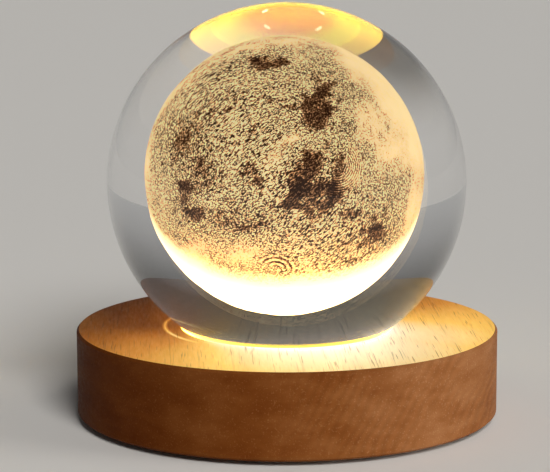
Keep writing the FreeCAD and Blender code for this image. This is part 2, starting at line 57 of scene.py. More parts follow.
# %% [markdown]
# ## Where the camera stands
#
# A long lens far away keeps the ball round and its disc shallow. The photograph gives three
# things to aim by: how large the ball is, where its middle lies, and how open the disc's top
# looks. Working back from them is surer than turning the camera by eye.

# %% Camera
PICTURE_WIDE, PICTURE_TALL = 550, 472
BALL_MIDDLE_ACROSS, BALL_MIDDLE_DOWN = 286.75, 182.0
FOCAL_LENGTH_IN_PIXELS = 2330
CAMERA_AWAY = 520 * MM
CAMERA_UP_DEGREES = 8.5
CAMERA_ROLL_DEGREES = 0.15
SENSOR_MM = 36.0

ball_low, ball_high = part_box("glass_ball")
ball_middle = (ball_low + ball_high) / 2
ball_radius = (ball_high.z - ball_low.z) / 2

elevation = math.radians(CAMERA_UP_DEGREES)
towards_camera = Vector((0, -math.cos(elevation), math.sin(elevation)))
camera_right = Vector((1, 0, 0))
camera_up = camera_right.cross(-towards_camera)

metres_per_pixel = CAMERA_AWAY / FOCAL_LENGTH_IN_PIXELS
aim = (
    ball_middle
    - camera_right * (BALL_MIDDLE_ACROSS - PICTURE_WIDE / 2) * metres_per_pixel
    - camera_up * (PICTURE_TALL / 2 - BALL_MIDDLE_DOWN) * metres_per_pixel
)
camera = bpy.data.objects.new("camera", bpy.data.cameras.new("camera"))
bpy.context.collection.objects.link(camera)
camera.location = ball_middle + towards_camera * CAMERA_AWAY
looking = aim - camera.location
camera.rotation_mode = "QUATERNION"
roll = Quaternion(looking.normalized(), math.radians(CAMERA_ROLL_DEGREES))
camera.rotation_quaternion = roll @ looking.to_track_quat("-Z", "Y")
camera.data.sensor_width = SENSOR_MM
camera.data.lens = FOCAL_LENGTH_IN_PIXELS / PICTURE_WIDE * SENSOR_MM
camera.data.clip_start = 10 * MM
bpy.context.scene.camera = camera
print("lens", round(camera.data.lens, 1), "mm, ball radius", round(ball_radius / MM, 1), "mm")

# %% [markdown]
# ## Nodes without the clutter
#
# A finish is a small network of nodes. Wiring it by hand takes many lines that say little, so
# this helper makes a material, adds nodes to it and joins them in one call each.


# %% Finish helper
class Finish:
    """A material, its surface shader, and short ways to add and join nodes."""

    def __init__(self, name, **sockets):
        self.material = bpy.data.materials.new(name)
        self.material.use_nodes = True
        self.tree = self.material.node_tree
        self.shader = self.tree.nodes["Principled BSDF"]
        for socket, value in sockets.items():
            self.shader.inputs[socket.replace("_", " ")].default_value = value

    def add(self, kind, inputs=(), output=0, **settings):
        """Adds a node, sets its properties, fills its inputs and returns one of its outputs."""
        node = self.tree.nodes.new("ShaderNode" + kind)
        for name, value in settings.items():
            setattr(node, name, value)
        for name, value in dict(inputs).items():
            self.join(value, node.inputs[name])
        return node.outputs[output]

    def join(self, value, socket):
        """Puts a plain value into a socket, or runs a link to it."""
        if isinstance(value, bpy.types.NodeSocket):
            self.tree.links.new(value, socket)
        else:
            socket.default_value = value

    def wear(self, socket, value):
        """Joins something to the surface shader."""
        self.join(value, self.shader.inputs[socket])

    def worn(self, socket):
        """What is joined to the surface shader already."""
        return self.shader.inputs[socket].links[0].from_socket

    def glow(self, colour):
        """Makes the surface give off light of a colour, besides what it reflects."""
        self.wear("Emission Color", colour)
        self.wear("Emission Strength", 1.0)

    def maths(self, operation, first, second=0.0):
        """A sum, product, sine and the like of one or two factors."""
        return self.add("Math", {0: first, 1: second}, operation=operation)

    def ramp(self, factor, stops):
        """Colours or greys along a factor: stops are (place, colour)."""
        output = self.add("ValToRGB", {"Fac": factor})
        scale = output.node.color_ramp
        for element in list(scale.elements)[1:]:
            scale.elements.remove(element)
        for place, colour in stops:
            element = scale.elements.new(place)
            element.color = (*colour, 1) if len(colour) == 3 else colour
        scale.elements.remove(scale.elements[0])
        return output

    def grey(self, factor, low, high, dark=0.0, light=1.0):
        """A factor stretched from low..high to dark..light, and clipped."""
        names = {"Value": factor, "From Min": low, "From Max": high}
        return self.add("MapRange", {**names, "To Min": dark, "To Max": light})

    def blend(self, share, first, second, how="MIX"):
        """Mixes two colours by a share."""
        output = self.add("Mix", data_type="RGBA", blend_type=how, output=2)
        for index, value in ((0, share), (6, first), (7, second)):
            self.join(value, output.node.inputs[index])
        return output

    def place(self, lengths=(1, 1, 1), turn=(0, 0, 0)):
        """The point on the object itself, in metres, for patterns drawn out along turned axes."""
        sockets = {"Vector": self.add("TexCoord", output=3), "Scale": lengths}
        degrees = [math.radians(angle) for angle in turn]
        return self.add("Mapping", {**sockets, "Rotation": degrees}, vector_type="TEXTURE")

    def ripple(self, point, waves, reach):
        """Pushes a point about, by up to a reach in metres, so that straight patterns wander."""
        push = self.add("TexNoise", {"Vector": point, "Scale": waves, "Detail": 1.0}, output=1)
        sockets = {0: push, 1: (0.5, 0.5, 0.5)}
        centred = self.add("VectorMath", sockets, operation="SUBTRACT")
        scaled = self.add("VectorMath", {0: centred, "Scale": 2 * reach}, operation="SCALE")
        return self.add("VectorMath", {0: point, 1: scaled}, operation="ADD")

    def times(self, colour, factor):
        """A colour made stronger or weaker."""
        return self.add("VectorMath", {0: colour, "Scale": factor}, operation="SCALE")

    def split(self, vector):
        """The three parts of a vector."""
        parts = self.add("SeparateXYZ", {0: vector})
        return parts.node.outputs

    def around(self):
        """Where a point lies round the lamp's middle: its radius, its angle and its height."""
        across, along, height = self.split(self.add("TexCoord", output=3))
        squares = [self.maths("MULTIPLY", side, side) for side in (across, along)]
        radius = self.maths("SQRT", self.maths("ADD", *squares))
        return radius, self.maths("ARCTAN2", along, across), height

    def cloud(self, point, scale, detail=2.0, roughness=0.5):
        """Soft noise at a number of waves per metre."""
        sockets = {"Vector": point, "Scale": scale, "Detail": detail, "Roughness": roughness}
        return self.add("TexNoise", sockets)

    def bump(self, height, depth):
        """Small relief, whose depth is in metres."""
        sockets = {"Height": height, "Distance": depth, "Strength": 1.0}
        self.wear("Normal", self.add("Bump", sockets))

    def on(self, thing):
        """Gives this finish to an object, in place of what it wears."""
        if not thing.material_slots:
            thing.data.materials.append(self.material)
        for slot in thing.material_slots:
            slot.material = self.material
        print(self.material.name, "on", thing.name, "with", len(self.tree.nodes), "nodes")
        return thing


def mesh_object(name, shape, finish, smooth=True):
    """Turns a bmesh into an object that wears a finish."""
    mesh = bpy.data.meshes.new(name)
    shape.to_mesh(mesh)
    shape.free()
    mesh.polygons.foreach_set("use_smooth", [smooth] * len(mesh.polygons))
    thing = bpy.data.objects.new(name, mesh)
    bpy.context.collection.objects.link(thing)
    print(name, len(mesh.polygons), "faces")
    return finish.on(thing)


# %% [markdown]
# ## A pale, quiet studio
#
# Glass shows whatever is around it, upside down: the lower part of the ball shows the sky, and
# its sides show the far floor. So the sky is pale at the horizon and darker overhead, which
# draws the ball's edge. A wide soft light, high in front and a little to the right, throws the
# shadow back. A weaker, low one lights the disc's side from the right, as in the photograph.
# Neither shows in the glass.

# %% Floor
FLOOR_WIDE = 8.0

floor_paint = Finish("floor_paint", Base_Color=(0.78, 0.77, 0.75, 1), Roughness=0.75)
floor_shape = bmesh.new()
bmesh.ops.create_grid(floor_shape, x_segments=2, y_segments=2, size=FLOOR_WIDE / 2)
floor = mesh_object("floor", floor_shape, floor_paint, smooth=False)

# %% Sky
SKY_HEIGHTS = [(0.00, 0.34), (0.12, 0.28), (0.40, 0.06), (1.00, 0.04)]
SKY_TINT = (1.0, 0.985, 0.96)

sky = bpy.data.worlds.new("sky")
sky.use_nodes = True
sky_nodes, sky_links = sky.node_tree.nodes, sky.node_tree.links
sky_place = sky_nodes.new("ShaderNodeTexCoord")
sky_parts = sky_nodes.new("ShaderNodeSeparateXYZ")
sky_ramp = sky_nodes.new("ShaderNodeValToRGB")
sky_links.new(sky_place.outputs["Generated"], sky_parts.inputs[0])
sky_links.new(sky_parts.outputs["Z"], sky_ramp.inputs["Fac"])
sky_links.new(sky_ramp.outputs["Color"], sky_nodes["Background"].inputs["Color"])
for element in list(sky_ramp.color_ramp.elements)[1:]:
    sky_ramp.color_ramp.elements.remove(element)
for height, strength in SKY_HEIGHTS:
    element = sky_ramp.color_ramp.elements.new(height)
    element.color = (*(strength * part for part in SKY_TINT), 1)
sky_ramp.color_ramp.elements.remove(sky_ramp.color_ramp.elements[0])
bpy.context.scene.world = sky
bpy.context.scene.view_settings.view_transform = "Standard"
print("a sky of", SKY_HEIGHTS[0][1], "at the horizon and", SKY_HEIGHTS[-1][1], "overhead")

# %% Two wide soft lights: how far right, back and up, strength, and softness in degrees
LIGHT_TINT = (1.0, 0.975, 0.94)
LIGHTS = {
    "front_light": ((0.26, -0.74, 0.62), 2.3, 24),
    "side_light": ((0.94, -0.28, 0.18), 2.0, 30),
}

for name, (direction, strength, softness) in LIGHTS.items():
    light = bpy.data.lights.new(name, "SUN")
    light.energy = strength
    light.angle = math.radians(softness)
    light.color = LIGHT_TINT
    holder = bpy.data.objects.new(name, light)
    holder.rotation_mode = "QUATERNION"
    holder.rotation_quaternion = Vector(direction).to_track_quat("Z", "Y")
    holder.visible_glossy = False
    holder.visible_transmission = False
    bpy.context.collection.objects.link(holder)
print(len(LIGHTS), "lights:", *LIGHTS)

# %% [markdown]
# ## The glass ball
#
# The ball bends light, so its surface has to be truly round: a faceted ball would break up the
# moon behind it. A cube whose faces are divided and pushed out to a sphere has even squares all
# over and no pinched poles.


# %% Round ball from a cube
def round_cube(squares):
    """A sphere of radius 1 with even squares: a cube's grid, spread by angle and pushed out."""
    shape = bmesh.new()
    bmesh.ops.create_cube(shape, size=2)
    bmesh.ops.subdivide_edges(
        shape, edges=shape.edges[:], cuts=squares - 1, use_grid_fill=True
    )
    for corner in shape.verts:
        corner.co = Vector([math.tan(c * math.pi / 4) for c in corner.co]).normalized()
    return shape


def scaled(shape, radius, middle):
    """The same shape, made as large as it should be and put in its place."""
    for corner in shape.verts:
        corner.co = corner.co * radius + middle
    return shape


# %% Clear glass
GLASS_INDEX = 1.52
BALL_SQUARES = 64

clear_glass = Finish(
    "clear_glass",
    Base_Color=(1.0, 1.0, 1.0, 1),
    Roughness=0.0,
    IOR=GLASS_INDEX,
    Transmission_Weight=1.0,
)
ball_shape = scaled(round_cube(BALL_SQUARES), ball_radius, ball_middle)
ball = mesh_object("ball_of_glass", ball_shape, clear_glass)
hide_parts("glass_ball")
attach(ball, "ball")

# %% [markdown]
# ## The moon's markings
#
# The markings are painted on a dense round mesh. Each corner of the mesh first learns where it
# is seen in the ball: the glass swells the moon by its index, and near the edge it even shows a
# little of the far side. Every sea, shade and bright streak is then a patch at a given place on
# that seen disc. The first list's patches have crisp edges, and the second list's fade out.

# %% Where a point of the moon is seen
RAYS = 400

moon_low, moon_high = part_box("engraved_moon")
moon_middle = (moon_low + moon_high) / 2
moon_radius = (moon_high.z - moon_low.z) / 2


def seen_on_disc(outwards):
    """For directions out of the moon's middle: how far right and up they are seen, 1 at the rim."""
    ray = np.linspace(0, GLASS_INDEX * moon_radius, RAYS)
    bend = np.arcsin(ray / ball_radius) - np.arcsin(ray / GLASS_INDEX / ball_radius)
    turn = bend + np.arcsin(np.clip(ray / GLASS_INDEX / moon_radius, 0, 1))
    from_axis = np.arccos(np.clip(outwards @ np.array(towards_camera), -1, 1))
    share = np.interp(from_axis, turn, ray / ray[-1])
    behind = np.clip(from_axis - turn[-1], 0, None)
    right = outwards @ np.array(camera_right)
    up = outwards @ np.array(camera_up)
    sideways = np.maximum(np.hypot(right, up), 1e-9)
    share = share + behind
    return right / sideways * share, up / sideways * share


seen_width = 2 * GLASS_INDEX * moon_radius
print("moon", round(2 * moon_radius / MM, 1), "mm, seen as", round(seen_width / MM, 1), "mm")

# %% Patches: right, up, half width, half height, slant in degrees, change of tone
SEAS = [
    (-0.09, 0.815, 0.14, 0.055, -4, -0.42),
    (-0.28, 0.85, 0.05, 0.03, 0, -0.22),
    (-0.19, 0.79, 0.07, 0.05, 0, -0.24),
    (0.20, 0.45, 0.145, 0.14, 0, -0.50),
    (0.14, 0.54, 0.05, 0.035, 20, -0.20),
    (0.28, 0.61, 0.08, 0.055, 20, -0.34),
    (0.40, 0.63, 0.09, 0.025, 0, -0.24),
    (0.40, 0.53, 0.06, 0.04, -10, -0.30),
    (0.22, 0.71, 0.05, 0.05, 30, -0.26),
    (0.31, 0.73, 0.05, 0.05, 0, -0.24),
    (0.03, 0.47, 0.06, 0.025, 0, -0.34),
    (-0.06, 0.52, 0.07, 0.018, 5, -0.30),
    (-0.22, 0.34, 0.05, 0.055, 0, -0.30),
    (-0.385, 0.455, 0.03, 0.018, 35, -0.35),
    (-0.34, 0.53, 0.02, 0.045, -15, -0.26),
    (-0.51, 0.42, 0.02, 0.06, -10, -0.22),
    (-0.37, 0.62, 0.025, 0.03, 30, -0.20),
    (0.13, 0.23, 0.07, 0.03, 40, -0.24),
    (0.28, 0.21, 0.025, 0.05, 0, -0.24),
    (0.44, 0.33, 0.055, 0.06, 0, -0.24),
    (0.48, 0.23, 0.035, 0.07, 20, -0.18),
    (0.10, 0.09, 0.11, 0.09, 0, -0.34),
    (0.22, 0.08, 0.08, 0.09, 0, -0.26),
    (0.08, 0.00, 0.11, 0.05, 0, -0.28),
    (0.10, -0.09, 0.085, 0.075, 0, -0.46),
    (0.05, -0.17, 0.07, 0.05, 20, -0.40),
    (0.14, -0.22, 0.06, 0.035, -30, -0.34),
    (0.26, -0.13, 0.12, 0.10, 0, -0.30),
    (0.36, -0.08, 0.06, 0.08, 0, -0.14),
    (0.30, -0.17, 0.06, 0.03, 20, -0.30),
    (0.37, 0.12, 0.03, 0.06, 0, -0.30),
    (0.37, 0.04, 0.055, 0.05, 0, -0.22),
    (-0.03, -0.02, 0.035, 0.02, -30, -0.26),
    (-0.20, 0.07, 0.05, 0.055, 0, -0.34),
    (-0.27, 0.02, 0.05, 0.03, 0, -0.32),
    (-0.17, -0.03, 0.045, 0.055, 20, -0.34),
    (-0.72, -0.05, 0.05, 0.03, 10, -0.26),
    (-0.69, -0.10, 0.06, 0.02, 0, -0.30),
    (-0.70, -0.17, 0.03, 0.03, 0, -0.20),
    (-0.60, -0.26, 0.08, 0.03, 10, -0.24),
    (-0.57, -0.34, 0.05, 0.02, 30, -0.24),
    (-0.28, -0.36, 0.06, 0.045, 0, -0.20),
    (-0.15, -0.34, 0.06, 0.025, 30, -0.22),
    (0.46, -0.25, 0.09, 0.035, 10, -0.26),
    (0.66, -0.27, 0.09, 0.03, 20, -0.24),
    (0.74, -0.16, 0.03, 0.10, -20, -0.22),
    (0.56, -0.39, 0.09, 0.03, 25, -0.24),
    (0.66, -0.40, 0.06, 0.03, 40, -0.20),
    (0.37, -0.48, 0.035, 0.025, 0, -0.26),
    (0.45, -0.58, 0.06, 0.025, 20, -0.28),
    (0.55, -0.48, 0.07, 0.02, 35, -0.22),
    (0.05, 0.33, 0.05, 0.03, 20, -0.18),
    (-0.02, 0.20, 0.22, 0.025, 36, 0.10),
    (0.20, 0.27, 0.12, 0.025, 12, 0.16),
    (-0.14, 0.43, 0.20, 0.022, 24, 0.10),
    (-0.38, 0.00, 0.035, 0.10, -8, 0.16),
    (-0.05, -0.02, 0.06, 0.025, 30, 0.12),
    (0.02, 0.68, 0.10, 0.03, 30, 0.14),
    (-0.10, 0.60, 0.14, 0.025, 28, 0.10),
]
SHADES = [
    # The widest patches, darker at the left and paler at the right, are partly the moon's own
    # markings and partly painted shade and painted light.
    (-0.71, 0.22, 0.22, 0.34, 0, -0.25),
    (-0.58, -0.08, 0.18, 0.16, 0, -0.26),
    (-0.45, 0.56, 0.22, 0.16, 40, -0.10),
    (0.30, -0.02, 0.22, 0.22, 0, -0.10),
    (0.58, -0.32, 0.24, 0.20, 0, -0.15),
    (-0.34, -0.31, 0.34, 0.11, 0, -0.26),
    (0.30, 0.62, 0.20, 0.18, 0, -0.08),
    (-0.10, 0.30, 0.30, 0.16, 0, -0.04),
    (0.74, 0.52, 0.26, 0.36, 0, 0.36),
    (0.82, 0.20, 0.20, 0.30, 0, 0.24),
    (0.56, 0.08, 0.10, 0.12, 0, 0.10),
    (0.48, 0.80, 0.18, 0.14, 0, 0.20),
    (0.02, -0.64, 0.46, 0.15, 0, 0.22),
    (-0.22, -0.05, 0.10, 0.10, 0, -0.12),
    (0.20, -0.40, 0.20, 0.08, 0, -0.08),
    (-0.86, -0.16, 0.06, 0.14, 0, 0.14),
    (-0.35, 0.00, 0.06, 0.10, 10, 0.16),
    (0.00, 0.12, 0.04, 0.16, -35, 0.04),
    (0.02, 0.64, 0.14, 0.06, 10, 0.14),
    (0.10, 0.82, 0.04, 0.09, 10, 0.18),
    (-0.15, 0.67, 0.12, 0.04, 0, 0.10),
    (0.39, 0.58, 0.04, 0.02, 0, 0.16),
    (-0.05, 0.25, 0.07, 0.06, 0, 0.08),
    (0.88, -0.18, 0.08, 0.26, 0, 0.20),
    (-0.62, -0.48, 0.20, 0.12, 30, 0.26),
    (-0.30, -0.54, 0.16, 0.08, 0, 0.14),
    (0.14, -0.24, 0.12, 0.08, 0, -0.22),
    (0.66, -0.08, 0.14, 0.10, 0, -0.10),
    (-0.40, 0.14, 0.14, 0.10, 0, 0.08),
    (0.48, -0.04, 0.06, 0.08, 0, 0.12),
]
print(len(SEAS), "crisp patches and", len(SHADES), "soft ones")

# %% The tone that the patches add up to
LAND_TONE = 0.51
DEEPEST_TONE = -0.15
CONTRAST = 1.35
SEA_CRISPNESS, SHADE_CRISPNESS = 2.5, 1.0


def fractal(points, waves, octaves=4, evenness=1.0):
    """Rough noise about 0 at each point, by summing finer and finer waves."""
    return np.array([noise.fractal(Vector(p) * waves, evenness, 2.0, octaves) for p in points])


def patch_tone(right, up):
    """The tone at each seen place: about 0 in the deepest sea, 1 on the brightest land."""
    tone = np.full(len(right), LAND_TONE)
    for patches, crispness in ((SEAS, SEA_CRISPNESS), (SHADES, SHADE_CRISPNESS)):
        for middle_right, middle_up, wide, tall, slant, change in patches:
            turn = math.radians(slant)
            across = (right - middle_right) * math.cos(turn) + (up - middle_up) * math.sin(turn)
            along = (up - middle_up) * math.cos(turn) - (right - middle_right) * math.sin(turn)
            reach = (across / wide) ** 2 + (along / tall) ** 2
            tone += CONTRAST * change * np.exp(-(reach**crispness))
    return np.maximum(tone, DEEPEST_TONE)


# %% [markdown]
# ## The moon's relief and tone
#
# The laser sets its points at slightly different depths, so the moon has a low relief. Here the
# darker places lie deeper, and rough noise rises and falls over all of it. More such noise, drawn
# out along a slant, pushes the patches' edges about, so they don't look like ovals. The lamps
# shine from below and a little from behind, so the moon's foot glows white, higher up at the back.

# %% Rough noise on the moon's mesh, drawn out along a slant
MOON_SQUARES = 128
GRAIN_SLANT = math.radians(38)
DRAWN_OUT = 0.55
RAGGED = ((7.0, 0.035), (24.0, 0.022))
RAGGED_SHIFTS = (3.0, 11.0)
ROUGH_SHIFT, ROUGH_WAVES, ROUGH_OCTAVES, ROUGH_EVENNESS = 7.0, 5.0, 5, 0.6

moon_shape = round_cube(MOON_SQUARES)
outwards = np.array([corner.co[:] for corner in moon_shape.verts])
strokes = np.array([math.cos(GRAIN_SLANT), 0, math.sin(GRAIN_SLANT)])
drawn_out = outwards - DRAWN_OUT * np.outer(outwards @ strokes, strokes)
wander = [
    sum(reach * fractal(drawn_out + shift, waves) for waves, reach in RAGGED)
    for shift in RAGGED_SHIFTS
]
rough = fractal(drawn_out + ROUGH_SHIFT, ROUGH_WAVES, ROUGH_OCTAVES, ROUGH_EVENNESS)
rough /= rough.std()
print("the moon's mesh has", len(outwards), "corners")

# %% Tone: patches, a painted brighter rim, and darker patches on the far side
RIM_FROM, RIM_FULL, RIM_PAINTED_LIGHT = 0.85, 0.98, 0.46
FAR_RISE, FAR_SHIFT, FAR_WAVES = 3, 5.0, 1.6
FAR_DARK, FAR_WANDER, FAR_DARKEST = 0.25, 0.6, 0.6
ROUGH_TONE = 0.12

seen_right, seen_up = seen_on_disc(outwards)
seen_radius = np.hypot(seen_right, seen_up)
tones = patch_tone(seen_right + wander[0], seen_up + wander[1])
# A painted brighter rim: near the moon's seen edge the shell of lit points is seen edge-on and
# looks brighter.
tones += RIM_PAINTED_LIGHT * np.clip((seen_radius - RIM_FROM) / (RIM_FULL - RIM_FROM), 0, 1)
far_side = np.clip((seen_radius - 1.0) * FAR_RISE, 0, 1)
far_dark = FAR_DARK + FAR_WANDER * fractal(outwards + FAR_SHIFT, FAR_WAVES)
tones -= far_side * np.clip(far_dark, 0, FAR_DARKEST)
tones += ROUGH_TONE * rough
print("dark seas cover", round(float((tones < 0.4).mean()), 2), "of the moon")

# %% Relief, and the white glow from below
SEA_DROP = 0.10 * MM
ROUGHNESS_HEIGHT, ROUGHNESS_REACH = 0.07 * MM, 3
LIGHT_FROM = np.array(Vector((0.0, 0.45, -0.9)).normalized())
WHITE_FROM, WHITE_FULL = 0.31, 0.70

glow = np.clip((outwards @ LIGHT_FROM - WHITE_FROM) / (WHITE_FULL - WHITE_FROM), 0, 1)
lift = SEA_DROP * (np.clip(tones, 0, 1) - 1) + ROUGHNESS_HEIGHT * (rough / ROUGHNESS_REACH - 1)
for corner, direction, height in zip(moon_shape.verts, outwards, lift):
    corner.co = moon_middle + Vector(direction) * (moon_radius + min(height, 0))
print("the relief is", round(float(min(lift.max(), 0) - lift.min()) / MM, 2), "mm deep")


def moon_point(right, up):
    """The point of the moon that is seen at a place on the disc."""
    away = np.hypot(seen_right - right, seen_up - up)
    return moon_middle + Vector(outwards[int(away.argmin())]) * moon_radius


# %% [markdown]
# ## The moon's light
#
# Close up, the moon is thousands of tiny cracks, each at its own slant, so each sends out more or
# less light than the next. A Voronoi texture does that: it fills the moon with small cells and
# gives each one a tone of its own. They are drawn out along the slant, and are quieter in the
# deepest seas and on the brightest land. Beside two places the layers that the laser works in
# show as fine arcs. The cracks scatter the lamps' light from within, so the moon gives it off.

# %% Cracks: small cells of random tone
GRAIN_WAVES = 8000
GRAIN_LENGTH = 2.8
GRAIN_DEPTH = 4.2
GRAIN_BY_TONE = ((0.0, 0.36), (0.42, 1.0), (0.62, 0.9), (0.95, 0.24))
GRAIN_GONE_AT = 0.8

moon_light = Finish("moon_light", Roughness=0.7, Specular_IOR_Level=0.0)
land = moon_light.add("Attribute", attribute_name="tone", output=2)
white = moon_light.add("Attribute", attribute_name="glow", output=2)
slant = moon_light.place(lengths=(GRAIN_LENGTH, 1, 1), turn=(0, -math.degrees(GRAIN_SLANT), 0))
cracks = moon_light.add("TexVoronoi", {"Vector": slant, "Scale": GRAIN_WAVES}, output=1)
grain = moon_light.maths("SUBTRACT", moon_light.split(cracks)[0], 0.5)
calm = moon_light.ramp(land, [(level, (share,) * 3) for level, share in GRAIN_BY_TONE])
calm = moon_light.maths("MULTIPLY", calm, GRAIN_DEPTH)
fade = moon_light.grey(white, 0.0, GRAIN_GONE_AT, 1.0, 0.0)
speck = moon_light.maths("MULTIPLY", grain, moon_light.maths("MULTIPLY", calm, fade))
print("cracks", round(1 / GRAIN_WAVES / MM, 3), "mm wide, drawn out", GRAIN_LENGTH, "times")


# %% Arcs beside two places
def arcs(tone, speck, place, towards, step, inner, outer, depth, quiet):
    """Adds fine arcs on one side of a place, between two distances, and quietens the grain."""
    sockets = {0: moon_light.add("TexCoord", output=3), 1: moon_point(*place)}
    away = moon_light.add("VectorMath", sockets, operation="DISTANCE", output=1)
    offset = moon_light.add("VectorMath", sockets, operation="SUBTRACT")
    sockets = {0: offset, 1: towards}
    sideways = moon_light.add("VectorMath", sockets, operation="DOT_PRODUCT", output=1)
    wave = moon_light.maths("SINE", moon_light.maths("MULTIPLY", away, 2 * math.pi / step))
    rise = moon_light.grey(away, inner * 0.5, inner)
    mask = moon_light.maths("MULTIPLY", rise, moon_light.grey(away, outer * 0.7, outer, 1.0, 0.0))
    mask = moon_light.maths("MULTIPLY", mask, moon_light.grey(sideways, 0.0, inner))
    ringed = moon_light.maths("MULTIPLY", wave, moon_light.maths("MULTIPLY", mask, depth))
    softer = moon_light.grey(mask, 0.0, 1.0, 1.0, quiet)
    return moon_light.maths("ADD", tone, ringed), moon_light.maths("MULTIPLY", speck, softer)


ARCS = {
    "beside the middle sea": {
        "place": (0.36, 0.08),
        "towards": (0.9, 0, -0.44),
        "step": 0.42 * MM,
        "inner": 1.4 * MM,
        "outer": 6.4 * MM,
        "depth": 0.40,
        "quiet": 0.32,
    },
    "above the low crater": {
        "place": (-0.06, -0.64),
        "towards": (0.3, 0, 0.95),
        "step": 0.95 * MM,
        "inner": 0.7 * MM,
        "outer": 4.0 * MM,
        "depth": 0.60,
        "quiet": 0.35,
    },
}

tone = land
for where, measures in ARCS.items():
    tone, speck = arcs(tone, speck, **measures)
    print("arcs", where, "every", round(measures["step"] / MM, 2), "mm")

# %% From tone to light
MOON_COLOURS = [
    (0.0, (0.020, 0.007, 0.002)),
    (0.25, (0.085, 0.036, 0.014)),
    (0.5, (0.34, 0.155, 0.064)),
    (0.75, (0.80, 0.44, 0.18)),
    (1.0, (1.00, 0.76, 0.38)),
]
WHITE_TONE = 0.5
WHITE_COLOUR, WHITE_SHARE, WHITE_SHARE_AT = (1.0, 0.86, 0.60, 1), 0.85, 0.6
PLAIN_STRENGTH, WHITE_STRENGTH = 0.84, 2.8

tone = moon_light.maths("ADD", tone, speck)
tone = moon_light.maths("ADD", tone, moon_light.maths("MULTIPLY", white, WHITE_TONE))
colour = moon_light.ramp(tone, MOON_COLOURS)
white_share = moon_light.grey(white, 0.0, WHITE_SHARE_AT, 0.0, WHITE_SHARE)
colour = moon_light.blend(white_share, colour, WHITE_COLOUR)
strength = moon_light.grey(white, 0.0, 1.0, PLAIN_STRENGTH, WHITE_STRENGTH)
moon_light.wear("Base Color", colour)
moon_light.glow(moon_light.times(colour, strength))

moon = mesh_object("moon_of_points", moon_shape, moon_light)
for name, values in (("tone", tones), ("glow", glow)):
    moon.data.attributes.new(name, "FLOAT", "POINT").data.foreach_set("value", values)
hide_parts("engraved_moon")
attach(moon, "ball")

# %% [markdown]
# ## Beech
#
# Beech is pale and even. What tells it apart is its flecks: fine dark strokes that run with the
# grain, here from front to back. On the disc's side the same grain is cut across. There it shows
# fine pale specks, soft patches and faint arcs of growth rings, and painted shade makes it dark and
# red at the left while painted light makes it pale at the right. Noise that is drawn out along the
# grain makes the top, a wave round a far point makes the rings, and the way that the surface faces
# chooses between them.

# %% Which way the wood faces, and its grain
GRAIN_TURN = (0, 0, 3)

beech = Finish("oiled_beech", Roughness=0.5, Specular_IOR_Level=0.15)
faces_up = beech.grey(beech.split(beech.add("TexCoord", output=1))[2], 0.75, 0.95)
wavy = beech.ripple(beech.place(lengths=(1, 9, 1), turn=GRAIN_TURN), 130, 0.9 * MM)
fleck_place = beech.ripple(beech.place(lengths=(1, 32, 1), turn=GRAIN_TURN), 160, 0.5 * MM)
line_place = beech.place(lengths=(1, 60, 1), turn=GRAIN_TURN)
print("the grain runs", GRAIN_TURN[2], "degrees off straight back")

# %% The top: bands, fibres, flecks and fine lines
BAND_WAVES, FIBRE_WAVES, FLECK_WAVES, LINE_WAVES = 110, 1700, 2900, 2400
TOP_COLOURS = [
    (0.30, (0.20, 0.064, 0.009)),
    (0.52, (0.25, 0.088, 0.014)),
    (0.70, (0.30, 0.114, 0.022)),
]
FIBRE_COLOUR, FIBRE_SHARE = (0.21, 0.078, 0.018, 1), 0.22
FLECK_COLOUR, FLECK_SHARE = (0.09, 0.036, 0.010, 1), 0.55

bands = beech.cloud(wavy, BAND_WAVES, 3.0, 0.55)
fibres = beech.cloud(wavy, FIBRE_WAVES, 2.0, 0.6)
flecks = beech.grey(beech.cloud(fleck_place, FLECK_WAVES, 1.0, 0.4), 0.64, 0.72)
lines = beech.grey(beech.cloud(line_place, LINE_WAVES, 2.0, 0.7), 0.57, 0.70, 0.0, 0.5)
flecked = beech.maths("MAXIMUM", flecks, lines)
top_wood = beech.ramp(bands, TOP_COLOURS)
fibre_share = beech.grey(fibres, 0.35, 0.65, 0.0, FIBRE_SHARE)
top_wood = beech.blend(fibre_share, top_wood, FIBRE_COLOUR)
top_wood = beech.blend(beech.maths("MULTIPLY", flecked, FLECK_SHARE), top_wood, FLECK_COLOUR)
print("flecks", round(1 / FLECK_WAVES / MM, 2), "mm wide on the top")

# %% The side: patches and pale pores
PATCH_WAVES, PORE_WAVES = 90, 2600
SIDE_COLOURS = [
    (0.30, (0.150, 0.044, 0.010)),
    (0.50, (0.185, 0.062, 0.016)),
    (0.70, (0.225, 0.084, 0.026)),
]
PORE_COLOUR, PORE_SHARE = (0.50, 0.28, 0.13, 1), 0.16

patches = beech.cloud(beech.place(lengths=(1, 2, 0.5)), PATCH_WAVES, 3.0, 0.6)
pores = beech.grey(beech.cloud(beech.place(), PORE_WAVES, 1.0, 0.5), 0.60, 0.74)
side_wood = beech.ramp(patches, SIDE_COLOURS)
side_wood = beech.blend(beech.maths("MULTIPLY", pores, PORE_SHARE), side_wood, PORE_COLOUR)
print("pores", round(1 / PORE_WAVES / MM, 2), "mm wide on the side")

# %% Growth rings across the side, and painted shade at its left end and painted light at its right
RINGS_ACROSS, RINGS_HEIGHT = 122 * MM, -47 * MM
RING_STEP = 1.9 * MM
RING_DARK, RING_LIGHT = 0.88, 1.10
FAINT_FROM, FAINT_TO, FAINT_SHARE = 40 * MM, -15 * MM, 0.2
SIDE_ENDS = 48 * MM
SIDE_PAINTED_LIGHT = [
    (0.0, (0.50, 0.36, 0.20)),
    (0.4, (0.84, 0.72, 0.52)),
    (0.62, (1.0, 1.0, 0.95)),
    (0.8, (1.3, 1.5, 1.9)),
]

